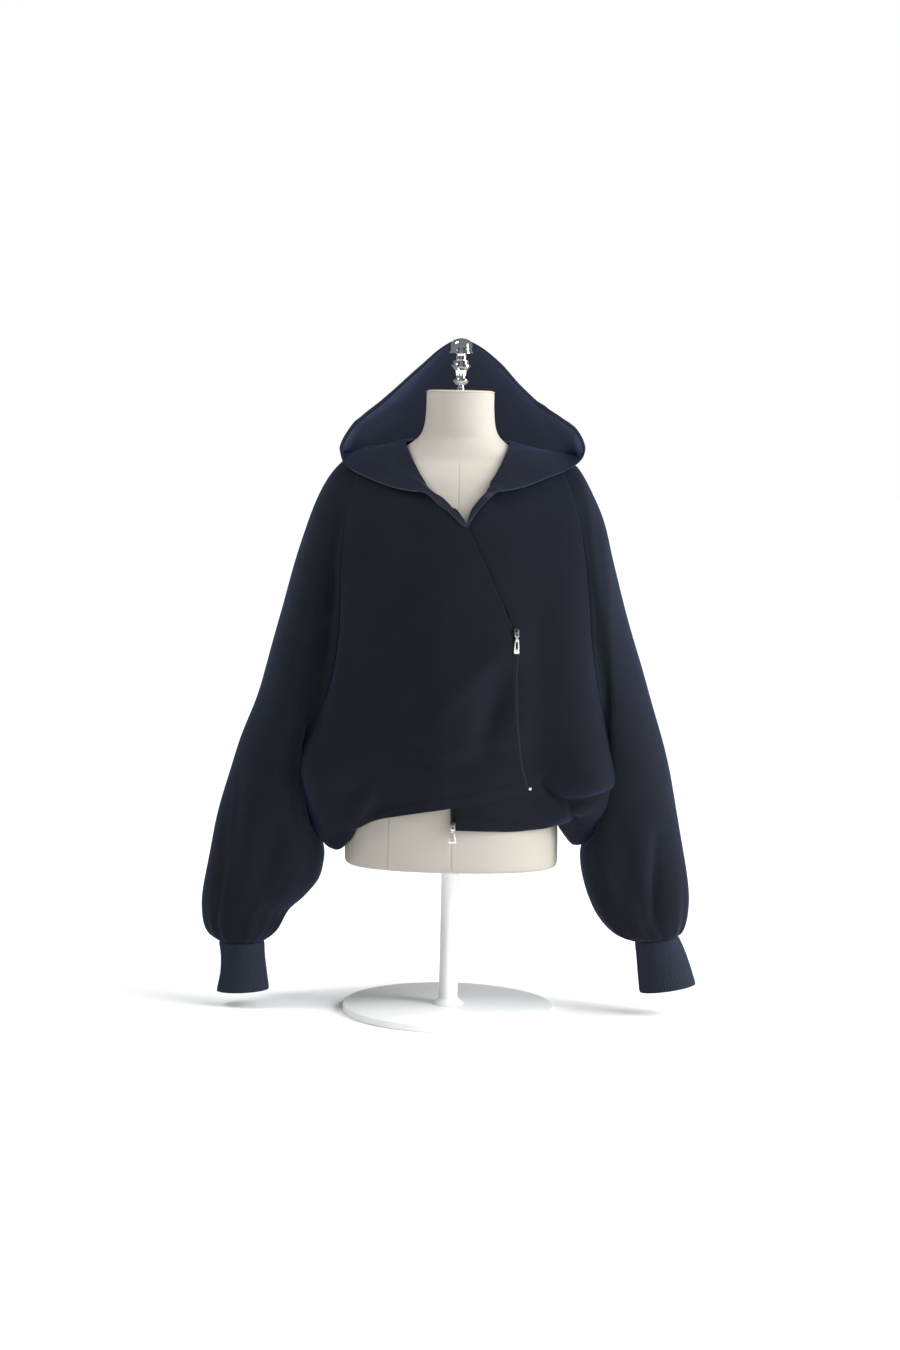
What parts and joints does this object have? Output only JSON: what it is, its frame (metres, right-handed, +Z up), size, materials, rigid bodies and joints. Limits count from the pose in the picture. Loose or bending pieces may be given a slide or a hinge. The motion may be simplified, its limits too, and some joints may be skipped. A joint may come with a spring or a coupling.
{
  "type": "zip-up hoodie on a dress form with its stand",
  "caption": "Loose zip-up hoodie with a wrapped front, a slanted zip, full sleeves, cuffs and an open hood, worn on a limbless dress form on a short stand.",
  "frame": {"origin": "centre of the stand base's underside, on the floor at the form's axis", "axes": "+Z up, the garment's front faces -Y, +X is the viewer's right, the wearer's left"},
  "size_m": [0.798, 0.3629, 1.085],
  "materials": {
    "navy_jersey": "matte",
    "cuff_rib": "matte",
    "zip_tape": "matte",
    "nickel": "satin",
    "chrome": "polished",
    "linen": "matte",
    "stand_paint": "satin"
  },
  "bodies": {
    "garment_on_form": {"dress_form": "linen", "finial": "chrome", "stand_base": "stand_paint", "stand_post": "stand_paint", "right_front": "navy_jersey", "left_front": "navy_jersey", "back": "navy_jersey", "left_sleeve": "navy_jersey", "right_sleeve": "navy_jersey", "left_cuff": "cuff_rib", "right_cuff": "cuff_rib", "left_hood": "navy_jersey", "right_hood": "navy_jersey", "slanted_zip_tape": "zip_tape", "edge_zip_tape": "zip_tape", "upper_slider": "nickel", "lower_slider": "nickel", "zip_stop": "nickel"},
    "upper_pull_tab": {"upper_pull": "nickel"},
    "lower_pull_tab": {"lower_pull": "nickel"}
  },
  "joints": [
    {"name": "upper_pull_swing", "type": "hinge", "parent": "garment_on_form", "child": "upper_pull_tab", "pos_m": [0.09431, -0.15324, 0.62671], "axis": [-0.9639, -0.2661, 0], "range_deg": [0, 150]},
    {"name": "lower_pull_swing", "type": "hinge", "parent": "garment_on_form", "child": "lower_pull_tab", "pos_m": [0.00178, -0.12268, 0.31955], "axis": [-1, 0, 0], "range_deg": [0, 150]}
  ]
}
